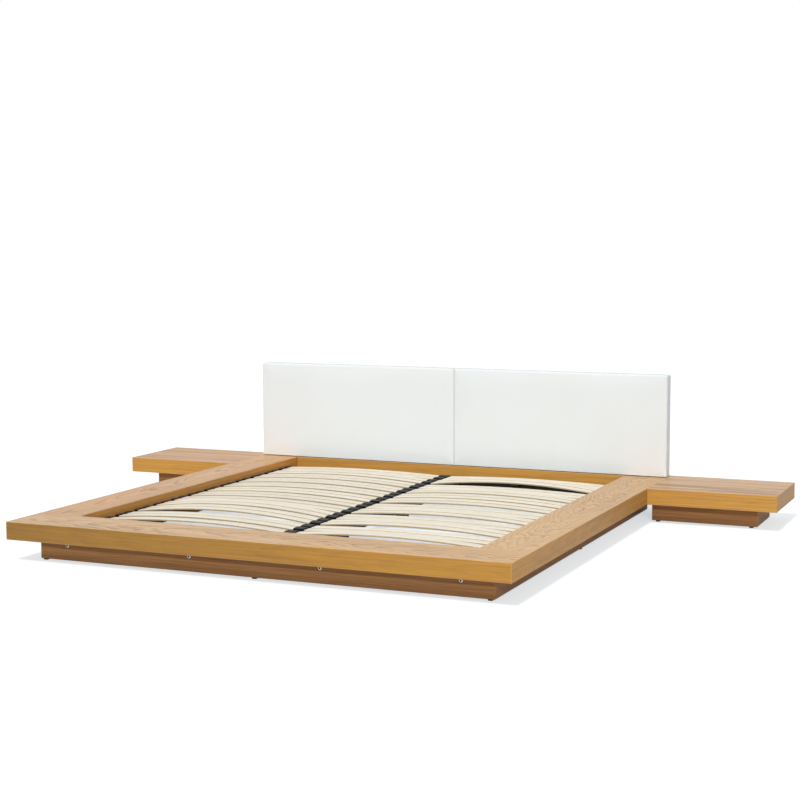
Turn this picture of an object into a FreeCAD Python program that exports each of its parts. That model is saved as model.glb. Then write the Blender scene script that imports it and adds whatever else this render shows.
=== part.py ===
"""Low platform bed: broad ledges over a set-back plinth, two bedside tables, a padded headboard
in two panels, and a sprung slat deck in two columns.

Millimetres. The origin is on the floor under the middle of the bed, +X to the right seen from
the foot end, +Y towards the headboard, +Z up.
"""
import FreeCAD, Part
import math
import os

Vector = FreeCAD.Vector
X_AXIS = Vector(1, 0, 0)
Y_AXIS = Vector(0, 1, 0)
Z_AXIS = Vector(0, 0, 1)
tolerance = 1e-6

# Mattress space and the ledges around it
mattress_width = 1800.0
mattress_length = 2000.0
side_ledge_width = 210.0
front_ledge_width = 230.0
ledge_behind_headboard = 28.0
ledge_thickness = 76.0
arris = 1.5
tenon_thickness = 14.0
tenon_depth = 35.0
front_tenon_width = 120.0
rear_tenon_width = 50.0
tenon_fit = 0.2

# Plinth under the bed
glide_height = 6.0
glide_side = 18.0
glide_bevel = 1.5
plinth_height = 88.0
plinth_inset = 100.0
plinth_rear_inset = 60.0
plinth_board = 22.0
plinth_arris = 1.0
glide_end_distance = 20.0
block_side = 40.0
block_height = 70.0

# Bolts and angle brackets that tie the front plinth to the ledge
bolt_count = 4
bolt_end_distance = 134.0
bolt_drop = 26.0
bolt_shank = 8.0
bolt_head_diameter = 17.0
bolt_head_height = 4.5
bolt_head_flat = 9.0
bolt_socket = 6.0
bolt_socket_depth = 2.5
bolt_fit = 0.3
nut_diameter = 16.0
nut_height = 6.5
bracket_width = 50.0
bracket_leg = 55.0
bracket_steel = 3.0
bracket_bend = 4.0
side_bracket_count = 2
rear_bracket_count = 2

# Sprung slats
slat_width = 53.0
slat_thickness = 8.0
slat_gap = 13.0
pair_gap = 33.0
deck_end_room = 60.0
slat_bow = 22.0
raised_slat_bow = 33.0
slack_slat_bow = 13.0
foot_slat_bow = 7.0
raised_left_rows = (3, 4)
raised_right_rows = (11,)
slack_left_rows = (12,)
slack_right_rows = (2, 4, 6, 10, 12)
slat_drop = 40.0
slat_end_room = 1.0
slat_fit = 0.3

# Moulded twin caps that hold the slat ends
cap_wall = 3.0
cap_base = 3.0
cap_depth = 32.0
centre_cap_depth = 26.0
cap_end_wall = 4.0
cap_web = 4.0
cap_mouth_bevel = 3.0
cap_edge_bevel = 2.0
cap_bridge_height = 5.0
cap_peg_length = 14.0
cap_peg_width = 20.0
cap_peg_depth = 9.0
cap_peg_fit = 0.2

# What carries the caps
batten_width = 36.0
batten_height = 21.0
beam_width = 60.0
beam_height = 70.0
beam_leg_side = 50.0
beam_leg_count = 2
hanger_steel = 3.0
hanger_depth = 70.0
hanger_wing = 30.0
hanger_fit = 0.2

# Headboard
headboard_height = 495.0
headboard_thickness = 62.0
headboard_lift = 5.0
headboard_gap = 3.0
pad_edge = 5.0
pad_edge_steps = 3
pad_body_steps = 4
pad_crown = 4.0
pad_edge_crown = 1.0
pad_wrap = 14.0
backing_board = 15.0
backing_fit = 0.3
head_bracket_from_middle = 255.0
head_bracket_from_end = 60.0
head_bracket_width = 60.0
head_bracket_height = 170.0
head_bracket_steel = 4.0
head_bracket_room = 2.0
head_bracket_bend = 5.0

# Bedside tables
bedside_width = 600.0
bedside_depth = 450.0
bedside_plinth_front = 95.0
bedside_plinth_outer = 105.0
bedside_plinth_rear = 60.0
bedside_plinth_board = 18.0
bedside_block_side = 32.0
bedside_glide_distance = 28.0
link_plate_length = 90.0
link_plate_room = 7.5
link_plate_steel = 3.0
link_plate_corner = 6.0

# Levels and planes that follow from the sizes above
plinth_bottom = glide_height
ledge_bottom = plinth_bottom + plinth_height
ledge_top = ledge_bottom + ledge_thickness
half_mattress = mattress_width / 2
half_bed = half_mattress + side_ledge_width
rear_ledge_width = headboard_thickness + ledge_behind_headboard
bed_length = front_ledge_width + mattress_length + rear_ledge_width
front_y = -bed_length / 2
inner_front_y = front_y + front_ledge_width
inner_rear_y = inner_front_y + mattress_length
back_y = bed_length / 2
slat_end_z = ledge_top - slat_drop - slat_thickness / 2
cap_bottom = slat_end_z - slat_thickness / 2 - slat_fit - cap_wall - cap_base
plinth_front_y = front_y + plinth_inset
plinth_back_y = back_y - plinth_rear_inset
half_plinth = half_bed - plinth_inset
slat_pitch = slat_width + slat_gap
pair_width = slat_pitch + slat_width
pair_pitch = pair_width + pair_gap
pair_count = 1 + int((mattress_length - 2 * deck_end_room - pair_width) / pair_pitch)

# Helpers


def box(low, high):
    return Part.makeBox(*[b - a for a, b in zip(low, high)], Vector(*low))


def cylinder(radius, length, start, direction):
    return Part.makeCylinder(radius, length, start, direction)


def lies_in(edge, axis, value):
    return all(abs(vertex.Point[axis] - value) < tolerance for vertex in edge.Vertexes)


def runs_along(edge, direction):
    return abs(edge.tangentAt(edge.FirstParameter).dot(direction)) > 1 - tolerance


def eased_board(low, high, bevel, butts=()):
    """A board with its edges eased, but sharp at the planes where it butts a neighbour."""
    board = box(low, high)
    edges = [e for e in board.Edges if not any(lies_in(e, axis, value) for axis, value in butts)]
    return board.makeChamfer(bevel, edges)


def grown_box(middle, half, fit):
    """Box about a middle point, larger by fit on every side."""
    room = Vector(fit, fit, fit)
    return box(middle - half - room, middle + half + room)


def outline(points):
    """Closed face through corner points; a point given with a middle point ends an arc."""
    edges = []
    previous = points[-1][-1]
    for step in points:
        end = step[-1]
        if len(step) == 2:
            edges.append(Part.Arc(previous, step[0], end).toShape())
        else:
            edges.append(Part.makeLine(previous, end))
        previous = end
    return Part.Face(Part.Wire(edges))


def corner_middle(centre, start, end):
    """Middle point of the quarter arc from start to end about centre."""
    radius = (start - centre).Length
    return centre + (start + end - centre * 2).normalize() * radius


def mirrored(shape):
    return shape.mirror(Vector(0, 0, 0), X_AXIS)


def placed(shape, shift):
    copy = shape.copy()
    copy.translate(shift)
    return copy


def spread(count, spacing, centre=0.0):
    return [centre + (i - (count - 1) / 2) * spacing for i in range(count)]


def glide(x, y):
    """Square plastic glide under a board, bevelled where it meets the floor."""
    half = glide_side / 2
    pad = box((x - half, y - half, 0), (x + half, y + half, glide_height))
    return pad.makeChamfer(glide_bevel, [e for e in pad.Edges if lies_in(e, 2, 0.0)])


def hexagon(centre, diameter, first, second):
    """Six-sided face about a centre, in the plane of two unit vectors."""
    turns = [math.radians(60 * i) for i in range(6)]
    corners = [centre + (first * math.cos(t) + second * math.sin(t)) * (diameter / 2) for t in turns]
    return outline([(corner,) for corner in corners])


def angle_bracket(width, rise, foot, steel, bend):
    """Bent steel angle: the upright stands in the plane Y = 0, the foot runs to +Y under Z = 0."""
    outer = bend + steel
    inner_centre = Vector(0, outer, -outer)
    upright_end = [Vector(0, 0, -rise), Vector(0, steel, -rise)]
    foot_end = [Vector(0, foot, -steel), Vector(0, foot, 0)]
    inner_start = Vector(0, steel, -outer)
    inner_end = Vector(0, outer, -steel)
    outer_start = Vector(0, outer, 0)
    outer_end = Vector(0, 0, -outer)
    profile = outline([
        (upright_end[0],),
        (upright_end[1],),
        (inner_start,),
        (corner_middle(inner_centre, inner_start, inner_end), inner_end),
        (foot_end[0],),
        (foot_end[1],),
        (outer_start,),
        (corner_middle(inner_centre, outer_start, outer_end), outer_end),
    ])
    return placed(profile.extrude(X_AXIS * width), Vector(-width / 2, 0, 0))


# Ledges: broad boards butted together over loose tenons


def tenons(fit=0.0):
    """Loose tenons at the four corners, or their mortises when given a fit."""
    middle_z = (ledge_bottom + ledge_top) / 2
    front_half = Vector(front_tenon_width / 2, tenon_depth, tenon_thickness / 2)
    rear_half = Vector(tenon_depth, rear_tenon_width / 2, tenon_thickness / 2)
    corner_x = half_mattress + side_ledge_width / 2
    rear_y = (inner_rear_y + back_y) / 2
    solids = []
    for side in (-1, 1):
        solids.append(grown_box(Vector(side * corner_x, inner_front_y, middle_z), front_half, fit))
        solids.append(grown_box(Vector(side * half_mattress, rear_y, middle_z), rear_half, fit))
    return Part.makeCompound(solids)


def ledges():
    mortises = tenons(tenon_fit)
    front = eased_board((-half_bed, front_y, ledge_bottom), (half_bed, inner_front_y, ledge_top), arris)
    right = eased_board((half_mattress, inner_front_y, ledge_bottom), (half_bed, back_y, ledge_top),
                        arris, [(1, inner_front_y)])
    rear = eased_board((-half_mattress, inner_rear_y, ledge_bottom),
                       (half_mattress, back_y, ledge_top),
                       arris, [(0, -half_mattress), (0, half_mattress)])
    right = right.cut(mortises)
    return {
        "front_ledge": front.cut(mortises),
        "left_side_ledge": mirrored(right),
        "right_side_ledge": right,
        "rear_ledge": rear.cut(mortises),
        "ledge_tenons": tenons(),
    }


# Plinth: a set-back box of boards, blocked at the corners and bolted to the ledges


def plinth_bolt_points():
    z = ledge_bottom - bolt_drop
    spacing = 2 * (half_plinth - bolt_end_distance) / (bolt_count - 1)
    return [Vector(x, plinth_front_y, z) for x in spread(bolt_count, spacing)]


def plinth_boards():
    inner_front = plinth_front_y + plinth_board
    inner_back = plinth_back_y - plinth_board
    front = eased_board((-half_plinth, plinth_front_y, plinth_bottom),
                        (half_plinth, inner_front, ledge_bottom), plinth_arris, [(2, ledge_bottom)])
    rear = eased_board((-half_plinth, inner_back, plinth_bottom),
                       (half_plinth, plinth_back_y, ledge_bottom), plinth_arris, [(2, ledge_bottom)])
    right = eased_board((half_plinth - plinth_board, inner_front, plinth_bottom),
                        (half_plinth, inner_back, ledge_bottom), plinth_arris,
                        [(2, ledge_bottom), (1, inner_front), (1, inner_back)])
    for point in plinth_bolt_points():
        front = front.cut(cylinder(bolt_shank / 2 + bolt_fit, plinth_board, point, Y_AXIS))
    return {
        "plinth_front": front,
        "plinth_rear": rear,
        "plinth_left": mirrored(right),
        "plinth_right": right,
    }


def corner_block(corner, inward_x, inward_y, side):
    """Three-cornered glue block, square to the two boards of a corner."""
    along = Vector(inward_x * side, 0, 0)
    across = Vector(0, inward_y * side, 0)
    face = outline([(corner,), (corner + along,), (corner + across,)])
    return face.extrude(Z_AXIS * block_height)


def plinth_corner_blocks():
    x = half_plinth - plinth_board
    z = ledge_bottom - block_height
    ends = ((plinth_front_y + plinth_board, 1), (plinth_back_y - plinth_board, -1))
    return Part.makeCompound([corner_block(Vector(side * x, y, z), -side, turn, block_side)
                              for side in (-1, 1) for y, turn in ends])


def ledge_brackets():
    """Angle brackets under the ledges, against the inside of the plinth boards."""
    pattern = angle_bracket(bracket_width, bracket_leg, bracket_leg, bracket_steel, bracket_bend)
    bolt_hole = cylinder(bolt_shank / 2 + bolt_fit, bracket_steel, Vector(0, 0, -bolt_drop), Y_AXIS)
    bolted = pattern.cut(bolt_hole)
    brackets = []
    for point in plinth_bolt_points():
        brackets.append(placed(bolted, Vector(point.x, plinth_front_y + plinth_board, ledge_bottom)))
    turned = pattern.copy()
    turned.rotate(Vector(0, 0, 0), Z_AXIS, 180)
    for x in spread(rear_bracket_count, 2 * half_plinth / (rear_bracket_count + 1)):
        brackets.append(placed(turned, Vector(x, plinth_back_y - plinth_board, ledge_bottom)))
    sideways = pattern.copy()
    sideways.rotate(Vector(0, 0, 0), Z_AXIS, 90)
    side_run = plinth_back_y - plinth_front_y
    for y in spread(side_bracket_count, side_run / (side_bracket_count + 1),
                    (plinth_front_y + plinth_back_y) / 2):
        right = placed(sideways, Vector(half_plinth - plinth_board, y, ledge_bottom))
        brackets += [right, mirrored(right)]
    return Part.makeCompound(brackets)


def plinth_bolt(point):
    """Low-headed socket bolt from the front of the plinth through the board and its bracket."""
    shank_length = plinth_board + bracket_steel + nut_height
    radius = bolt_head_diameter / 2
    profile = outline([
        (Vector(0, 0, 0),),
        (Vector(radius, 0, 0),),
        (Vector(bolt_head_flat / 2, -bolt_head_height, 0),),
        (Vector(0, -bolt_head_height, 0),),
    ])
    head = profile.revolve(Vector(0, 0, 0), Y_AXIS, 360)
    socket_face = hexagon(Y_AXIS * -bolt_head_height, bolt_socket, X_AXIS, Z_AXIS)
    head = head.cut(socket_face.extrude(Y_AXIS * bolt_socket_depth))
    shank = cylinder(bolt_shank / 2, shank_length, Vector(0, 0, 0), Y_AXIS)
    return placed(head.fuse(shank).removeSplitter(), point)


def hex_nut(point):
    nut = hexagon(Vector(0, 0, 0), nut_diameter, X_AXIS, Z_AXIS).extrude(Y_AXIS * nut_height)
    return placed(nut.cut(cylinder(bolt_shank / 2, nut_height, Vector(0, 0, 0), Y_AXIS)), point)


def plinth_fasteners():
    behind = Y_AXIS * (plinth_board + bracket_steel)
    points = plinth_bolt_points()
    return {
        "front_plinth_bolts": Part.makeCompound([plinth_bolt(p) for p in points]),
        "front_plinth_nuts": Part.makeCompound([hex_nut(p + behind) for p in points]),
    }


def plinth_glides():
    half_board = plinth_board / 2
    end_x = half_plinth - glide_end_distance
    front = [(x, plinth_front_y + half_board) for x in (-end_x, 0, end_x)]
    rear = [(x, plinth_back_y - half_board) for x in (-end_x, 0, end_x)]
    middle_y = (plinth_front_y + plinth_back_y) / 2
    sides = [(side * (half_plinth - half_board), middle_y) for side in (-1, 1)]
    return Part.makeCompound([glide(x, y) for x, y in front + rear + sides])


# Slat deck: bowed slats in twin caps, on side battens and a centre beam

left_slat_start = -half_mattress + cap_end_wall + slat_end_room
left_slat_end = -cap_web / 2 - slat_end_room
row_middles = spread(pair_count, pair_pitch, (inner_front_y + inner_rear_y) / 2)
pair_offsets = spread(2, slat_pitch)


def bow_arc(bow):
    """Centre and radius of the arc along the middle of a slat in the left column."""
    half_span = (left_slat_end - left_slat_start) / 2
    radius = (half_span ** 2 + bow ** 2) / (2 * bow)
    middle_x = (left_slat_start + left_slat_end) / 2
    return Vector(middle_x, 0, slat_end_z + bow - radius), radius


def arc_height(x, bow, offset=0.0):
    """Height at x of the slat's middle line, moved square to itself by offset."""
    centre, radius = bow_arc(bow)
    return centre.z + math.sqrt((radius + offset) ** 2 - (x - centre.x) ** 2)


def bowed_strip(start, end, width, bow, half_thickness):
    """Strip of even thickness bent to the slat's arc, from start to end along X."""
    xs = (start, (start + end) / 2, end)

    def edge_points(offset):
        return [Vector(x, -width / 2, arc_height(x, bow, offset)) for x in xs]

    top = edge_points(half_thickness)
    bottom = edge_points(-half_thickness)
    profile = outline([(top[0],), (top[1], top[2]), (bottom[2],), (bottom[1], bottom[0])])
    return profile.extrude(Y_AXIS * width)


def slat(bow):
    return bowed_strip(left_slat_start, left_slat_end, slat_width, bow, slat_thickness / 2)


def column_bows(raised_rows, slack_rows):
    """Bows of the two slats of each pair in a column, counted from the foot end.

    Most pairs are even and a few stand proud or lie low; the very first slat is nearly straight.
    """
    bows = []
    for row in range(1, pair_count + 1):
        even_or_slack = slack_slat_bow if row in slack_rows else slat_bow
        bow = raised_slat_bow if row in raised_rows else even_or_slack
        bows.append((foot_slat_bow if row == 1 else bow, bow))
    return bows


left_bows = column_bows(raised_left_rows, slack_left_rows)
right_bows = column_bows(raised_right_rows, slack_right_rows)
deck_rows = list(zip(row_middles, left_bows, right_bows))


def slat_rows():
    rows = {}
    for number, (middle, left_pair, right_pair) in enumerate(deck_rows, 1):
        solids = []
        for offset, left_bow, right_bow in zip(pair_offsets, left_pair, right_pair):
            shift = Y_AXIS * (middle + offset)
            solids.append(placed(slat(left_bow), shift))
            solids.append(placed(mirrored(slat(right_bow)), shift))
        rows["slat_row_%02d" % number] = Part.makeCompound(solids)
    return rows


def cap_body(left, right, top, open_left):
    """Sleeve block for one slat end, bevelled at its mouth and along its top."""
    half = slat_width / 2 + slat_fit + cap_wall
    left_bevel = cap_mouth_bevel if open_left else 0.0

    def at(x, z):
        return Vector(x, -half, z)

    corners = [at(left, cap_bottom), at(right, cap_bottom), at(right, top - cap_mouth_bevel),
               at(right - cap_mouth_bevel, top), at(left + left_bevel, top)]
    if open_left:
        corners.append(at(left, top - left_bevel))
    body = outline([(corner,) for corner in corners]).extrude(Y_AXIS * (2 * half))
    top_edges = [e for e in body.Edges if lies_in(e, 2, top) and runs_along(e, X_AXIS)]
    return body.makeChamfer(cap_edge_bevel, top_edges)


def slat_socket(left, right, bow):
    return bowed_strip(left, right, slat_width + 2 * slat_fit, bow, slat_thickness / 2 + slat_fit)


def sleeve_top(mouth_x, bow):
    """Height of the sleeve's roof over the slat at its mouth."""
    return arc_height(mouth_x, bow, slat_thickness / 2 + slat_fit + cap_wall)


def peg(x, y, fit=0.0):
    """Peg under a twin cap, or its mortise when given a fit."""
    half = Vector(cap_peg_length / 2, cap_peg_width / 2, cap_peg_depth / 2)
    return grown_box(Vector(x, y, cap_bottom - cap_peg_depth / 2), half, fit)


def twin(sleeves, left, right):
    """Two sleeves, their bridge and the peg below in one moulding; a sleeve is a block and its sockets."""
    bridge = box((left, pair_offsets[0], cap_bottom),
                 (right, pair_offsets[1], cap_bottom + cap_bridge_height))
    blocks, sockets = [], []
    for offset, (block, cuts) in zip(pair_offsets, sleeves):
        blocks.append(placed(block, Y_AXIS * offset))
        sockets += [placed(cut, Y_AXIS * offset) for cut in cuts]
    moulding = blocks[0].fuse([blocks[1], bridge, peg((left + right) / 2, 0.0)]).removeSplitter()
    for socket in sockets:
        moulding = moulding.cut(socket)
    return moulding


def side_cap(bows):
    """Twin cap for the left ends of the left column."""
    left = -half_mattress
    right = left + cap_depth
    sleeves = []
    for bow in bows:
        block = cap_body(left, right, sleeve_top(right, bow), False)
        sleeves.append((block, [slat_socket(left + cap_end_wall, right, bow)]))
    return twin(sleeves, left, right)


def centre_cap(left_pair, right_pair):
    """Twin cap over the centre beam, open to both columns."""
    reach = centre_cap_depth
    sleeves = []
    for left_bow, right_bow in zip(left_pair, right_pair):
        block = cap_body(-reach, reach, sleeve_top(-reach, max(left_bow, right_bow)), True)
        left_socket = slat_socket(-reach, -cap_web / 2, left_bow)
        right_socket = mirrored(slat_socket(-reach, -cap_web / 2, right_bow))
        sleeves.append((block, [left_socket, right_socket]))
    return twin(sleeves, -reach, reach)


def slat_caps():
    left, centre, right = [], [], []
    for middle, left_pair, right_pair in deck_rows:
        shift = Y_AXIS * middle
        left.append(placed(side_cap(left_pair), shift))
        right.append(placed(mirrored(side_cap(right_pair)), shift))
        centre.append(placed(centre_cap(left_pair, right_pair), shift))
    return {
        "left_slat_caps": Part.makeCompound(left),
        "centre_slat_caps": Part.makeCompound(centre),
        "right_slat_caps": Part.makeCompound(right),
    }


def peg_holes(x):
    """Mortises for the pegs of a whole line of twin caps."""
    return Part.makeCompound([peg(x, middle, cap_peg_fit) for middle in row_middles])


def battens():
    left = box((-half_mattress, inner_front_y, cap_bottom - batten_height),
               (-half_mattress + batten_width, inner_rear_y, cap_bottom))
    left = left.cut(peg_holes(-half_mattress + cap_depth / 2))
    return {"left_slat_batten": left, "right_slat_batten": mirrored(left)}


def beam_leg_ys():
    spacing = mattress_length / (beam_leg_count + 1)
    return spread(beam_leg_count, spacing, (inner_front_y + inner_rear_y) / 2)


def beam_hanger():
    """Steel shoe for the front end of the beam, winged to screw to the ledge below the caps."""
    half = beam_width / 2 + hanger_fit
    low = cap_bottom - beam_height - hanger_fit
    back = inner_front_y
    shoe = box((-half - hanger_steel, back, low - hanger_steel),
               (half + hanger_steel, back + hanger_depth, cap_bottom))
    seat = box((-half, back + hanger_steel, low), (half, back + hanger_depth, cap_bottom))
    wing_end = half + hanger_steel + hanger_wing
    wings = box((-wing_end, back, ledge_bottom), (wing_end, back + hanger_steel, cap_bottom))
    return shoe.cut(seat).fuse(wings).removeSplitter()


def centre_support():
    half = beam_width / 2
    low = cap_bottom - beam_height
    beam = box((-half, inner_front_y + hanger_steel, low), (half, inner_rear_y - hanger_steel, cap_bottom))
    parts = {"centre_beam": beam.cut(peg_holes(0.0))}
    front = beam_hanger()
    middle_y = (inner_front_y + inner_rear_y) / 2
    parts["beam_hanger_front"] = front
    parts["beam_hanger_rear"] = front.mirror(Vector(0, middle_y, 0), Y_AXIS)
    half_leg = beam_leg_side / 2
    for name, y in zip(("front", "rear"), beam_leg_ys()):
        parts["beam_leg_" + name] = eased_board((-half_leg, y - half_leg, glide_height),
                                                (half_leg, y + half_leg, low), plinth_arris, [(2, low)])
    parts["beam_leg_glides"] = Part.makeCompound([glide(0, y) for y in beam_leg_ys()])
    return parts


# Headboard: two padded panels on backing boards, held by angle brackets behind

pad_left = headboard_gap / 2
pad_right = half_bed
pad_front = inner_rear_y
pad_back = inner_rear_y + headboard_thickness
pad_bottom = ledge_top + headboard_lift
pad_top = pad_bottom + headboard_height
head_bracket_foot = ledge_behind_headboard - head_bracket_room


def pad_section(z, draw_in, crown):
    """Level section of the right pad: flat back, rounded front corners and a crowned front."""
    left = pad_left + draw_in
    right = pad_right - draw_in
    front = pad_front + draw_in
    r = pad_edge

    def at(x, y):
        return Vector(x, y, z)

    left_corner = at(left + r, front + r)
    right_corner = at(right - r, front + r)
    return Part.Wire(outline([
        (at(left, pad_back),),
        (at(left, front + r),),
        (corner_middle(left_corner, at(left, front + r), at(left + r, front)), at(left + r, front)),
        (at((left + right) / 2, front - crown), at(right - r, front)),
        (corner_middle(right_corner, at(right - r, front), at(right, front + r)), at(right, front + r)),
        (at(right, pad_back),),
    ]).OuterWire.Edges)


def backing(fit=0.0):
    """Board let into the back of the right pad, standing on the ledges."""
    return box((pad_left + pad_wrap - fit, pad_back - backing_board - fit, ledge_top - fit),
               (pad_right - pad_wrap + fit, pad_back, pad_top - pad_wrap + fit))


def pad_levels():
    """Height, draw-in and front crown of the level sections, from the bottom edge up."""
    lower = []
    for step in range(pad_edge_steps + 1):
        turn = math.pi / 2 * step / pad_edge_steps
        z = pad_bottom + pad_edge * (1 - math.cos(turn))
        lower.append((z, pad_edge * (1 - math.sin(turn)), pad_edge_crown))
    middle = []
    for step in range(1, pad_body_steps):
        share = step / pad_body_steps
        z = pad_bottom + pad_edge + (headboard_height - 2 * pad_edge) * share
        middle.append((z, 0.0, pad_edge_crown + (pad_crown - pad_edge_crown) * math.sin(math.pi * share)))
    upper = [(pad_bottom + pad_top - z, draw_in, crown) for z, draw_in, crown in reversed(lower)]
    return lower + middle + upper


def headboard_pad():
    """Right pad, lofted upwards: drawn in at both edges, fullest at half height."""
    return Part.makeLoft([pad_section(*level) for level in pad_levels()], True, True)


def head_brackets():
    """Angles with the upright on the backing board and the foot on the rear ledge."""
    angle = angle_bracket(head_bracket_width, head_bracket_height, head_bracket_foot,
                          head_bracket_steel, head_bracket_bend)
    angle.rotate(Vector(0, 0, 0), X_AXIS, 180)
    angle = placed(angle.mirror(Vector(0, 0, 0), Y_AXIS), Vector(0, pad_back, ledge_top))
    xs = (head_bracket_from_middle, half_mattress - head_bracket_from_end)
    return [placed(angle, X_AXIS * side * x) for x in xs for side in (-1, 1)]


def headboard():
    pad = headboard_pad().cut(backing(backing_fit))
    board = backing()
    return {
        "headboard_right_pad": pad,
        "headboard_left_pad": mirrored(pad),
        "headboard_right_board": board,
        "headboard_left_board": mirrored(board),
        "headboard_brackets": Part.makeCompound(head_brackets()),
    }


# Bedside tables: a board level with the ledge, on a plinth box of its own

table_front = back_y - bedside_depth
table_outer = half_bed + bedside_width
table_plinth_front = table_front + bedside_plinth_front
table_plinth_rear = back_y - bedside_plinth_rear
table_plinth_outer = table_outer - bedside_plinth_outer


def link_plate_points():
    """Middles of the plates under the seam between ledge and table, clear of the table's plinth."""
    ys = ((table_front + table_plinth_front) / 2, (table_plinth_rear + back_y) / 2)
    return [Vector(half_bed, y, ledge_bottom) for y in ys]


def link_plate(point):
    """Flat steel plate with snipped corners, under both boards."""
    half = Vector(link_plate_length / 2, bedside_plinth_rear / 2 - link_plate_room, 0)
    plate = box(point - half - Z_AXIS * link_plate_steel, point + half)
    return plate.makeChamfer(link_plate_corner, [e for e in plate.Edges if runs_along(e, Z_AXIS)])


def bedside(side):
    """One table with its plinth; the right one is modelled, the left one is its mirror."""
    flip = mirrored if side == "left" else Part.Shape.copy
    top = eased_board((half_bed, table_front, ledge_bottom), (table_outer, back_y, ledge_top), arris)
    t = bedside_plinth_board
    front = eased_board((half_bed, table_plinth_front, plinth_bottom),
                        (table_plinth_outer, table_plinth_front + t, ledge_bottom),
                        plinth_arris, [(2, ledge_bottom)])
    rear = eased_board((half_bed, table_plinth_rear - t, plinth_bottom),
                       (table_plinth_outer, table_plinth_rear, ledge_bottom),
                       plinth_arris, [(2, ledge_bottom)])
    ends = [(2, ledge_bottom), (1, table_plinth_front + t), (1, table_plinth_rear - t)]

    def side_board(low_x):
        return eased_board((low_x, table_plinth_front + t, plinth_bottom),
                           (low_x + t, table_plinth_rear - t, ledge_bottom), plinth_arris, ends)

    parts = {
        "top": top,
        "plinth_front": front,
        "plinth_rear": rear,
        "plinth_inner": side_board(half_bed),
        "plinth_outer": side_board(table_plinth_outer - t),
    }
    return {"%s_bedside_%s" % (side, name): flip(shape) for name, shape in parts.items()}


def bedside_hardware():
    t = bedside_plinth_board
    z = ledge_bottom - block_height
    xs = ((half_bed + t, 1), (table_plinth_outer - t, -1))
    ys = ((table_plinth_front + t, 1), (table_plinth_rear - t, -1))
    blocks = [corner_block(Vector(x, y, z), dx, dy, bedside_block_side) for x, dx in xs for y, dy in ys]
    glide_xs = (half_bed + bedside_glide_distance, table_plinth_outer - bedside_glide_distance)
    glide_ys = (table_plinth_front + t / 2, table_plinth_rear - t / 2)
    feet = [glide(x, y) for x in glide_xs for y in glide_ys]
    plates = [link_plate(p) for p in link_plate_points()]
    groups = {
        "bedside_corner_blocks": blocks,
        "bedside_glides": feet,
        "bedside_link_plates": plates,
    }
    return {name: Part.makeCompound(solids + [mirrored(s) for s in solids])
            for name, solids in groups.items()}


def build():
    parts = {}
    parts.update(ledges())
    parts.update(plinth_boards())
    parts["plinth_corner_blocks"] = plinth_corner_blocks()
    parts["ledge_brackets"] = ledge_brackets()
    parts.update(plinth_fasteners())
    parts["plinth_glides"] = plinth_glides()
    parts.update(slat_rows())
    parts.update(slat_caps())
    parts.update(battens())
    parts.update(centre_support())
    parts.update(headboard())
    parts.update(bedside("left"))
    parts.update(bedside("right"))
    parts.update(bedside_hardware())
    return parts


os.makedirs("parts", exist_ok=True)
for node, shape in build().items():
    shape.exportStep(os.path.join("parts", node + ".step"))
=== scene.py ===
# Platform bed with slat deck, bedside tables and a two-panel headboard
import math

import bmesh
import bpy
import numpy as np
from mathutils import Matrix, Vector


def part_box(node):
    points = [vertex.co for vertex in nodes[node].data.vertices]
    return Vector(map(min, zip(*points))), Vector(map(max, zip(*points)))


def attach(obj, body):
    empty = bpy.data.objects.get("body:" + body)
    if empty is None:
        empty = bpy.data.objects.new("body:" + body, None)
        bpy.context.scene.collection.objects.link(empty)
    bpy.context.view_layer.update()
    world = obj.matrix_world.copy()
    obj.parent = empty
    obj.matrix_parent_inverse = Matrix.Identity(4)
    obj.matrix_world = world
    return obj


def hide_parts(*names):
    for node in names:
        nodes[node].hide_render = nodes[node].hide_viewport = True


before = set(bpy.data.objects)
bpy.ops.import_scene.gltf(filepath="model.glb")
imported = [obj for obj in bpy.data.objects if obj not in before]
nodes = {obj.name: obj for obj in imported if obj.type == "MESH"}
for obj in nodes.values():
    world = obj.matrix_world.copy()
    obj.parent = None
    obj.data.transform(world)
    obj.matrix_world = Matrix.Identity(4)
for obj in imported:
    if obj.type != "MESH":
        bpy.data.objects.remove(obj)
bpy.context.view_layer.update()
chance = np.random.default_rng(11)
print("frame loaded,", len(nodes), "nodes")


# shader maths

class Wire:
    # one socket of a shader tree: operators add Math nodes, node() adds any other kind
    def __init__(self, tree, socket=None):
        self.tree, self.socket = tree, socket

    def node(self, kind, settings=None, inputs=None, out=0):
        made = self.tree.nodes.new("ShaderNode" + kind)
        for key, value in (settings or {}).items():
            setattr(made, key, value)
        for key, value in (inputs or {}).items():
            if isinstance(value, Wire):
                self.tree.links.new(value.socket, made.inputs[key])
            else:
                made.inputs[key].default_value = value
        return Wire(self.tree, made.outputs[out] if made.outputs else None)

    def math(self, operation, *values):
        return self.node("Math", {"operation": operation}, dict(enumerate(values)))

    def __add__(self, other):
        return self.math("ADD", self, other)

    def __sub__(self, other):
        return self.math("SUBTRACT", self, other)

    def __rsub__(self, other):
        return self.math("SUBTRACT", other, self)

    def __mul__(self, other):
        return self.math("MULTIPLY", self, other)

    def __truediv__(self, other):
        return self.math("DIVIDE", self, other)

    def __pow__(self, other):
        return self.math("POWER", self, other)

    def __abs__(self):
        return self.math("ABSOLUTE", self)

    __radd__ = __add__
    __rmul__ = __mul__


seedShift = (3.1, 1.7, 2.3)     # how far the noise moves on each axis for one unit of seed
facesFrom = (0.5, 0.8)     # part of a normal from which a face counts as turned that way


def least(first, second):
    return first.math("MINIMUM", first, second)


def most(first, second):
    return first.math("MAXIMUM", first, second)


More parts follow.
